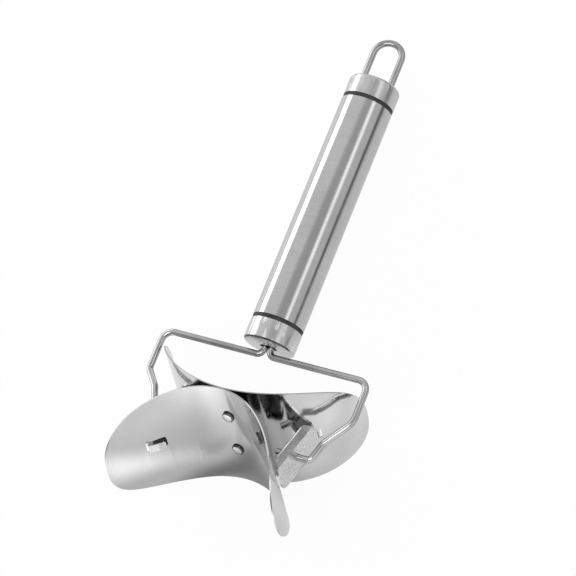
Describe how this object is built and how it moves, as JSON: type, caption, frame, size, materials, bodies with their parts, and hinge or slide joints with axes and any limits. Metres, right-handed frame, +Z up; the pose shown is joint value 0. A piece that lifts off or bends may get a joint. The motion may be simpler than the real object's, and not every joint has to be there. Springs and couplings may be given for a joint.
{
  "type": "dumpling wrapper cutter",
  "caption": "Rolling dough cutter: back-to-back curved oval steel blades spin on a bent wire yoke under a round steel handle with a hanging loop.",
  "frame": {"origin": "on the floor under the middle of the box around the part, the tool lying level on its blades", "axes": "+Y along the handle from the blades to the hanging loop, +X along the axle the blades spin on, +Z up"},
  "size_m": [0.1082, 0.2364, 0.0583],
  "materials": {
    "tube_steel": "satin, brushed along the handle",
    "cap_steel": "polished, lightly scuffed",
    "ring_black": "matt black",
    "wire_steel": "polished",
    "plug_plastic": "matt",
    "blade_steel": "mirror rolled sheet, bright cut edge",
    "bracket_steel": "frosted",
    "rivet_steel": "satin"
  },
  "bodies": {
    "handle": {"handle_tube": "tube_steel", "top_cap": "cap_steel", "bottom_cap": "cap_steel", "upper_ring": "ring_black", "lower_ring": "ring_black", "hanging_loop": "wire_steel", "top_plug": "plug_plastic", "bottom_plug": "plug_plastic", "left_yoke_wire": "wire_steel", "right_yoke_wire": "wire_steel"},
    "cutter": {"front_blade": "blade_steel", "rear_blade": "blade_steel", "left_bracket": "bracket_steel", "right_bracket": "bracket_steel", "blade_rivets": "rivet_steel"}
  },
  "joints": [
    {"name": "cutter_spin", "type": "hinge", "parent": "handle", "child": "cutter", "pos_m": [0, -0.08241, 0.02919], "axis": [1, 0, 0], "continuous": true}
  ]
}
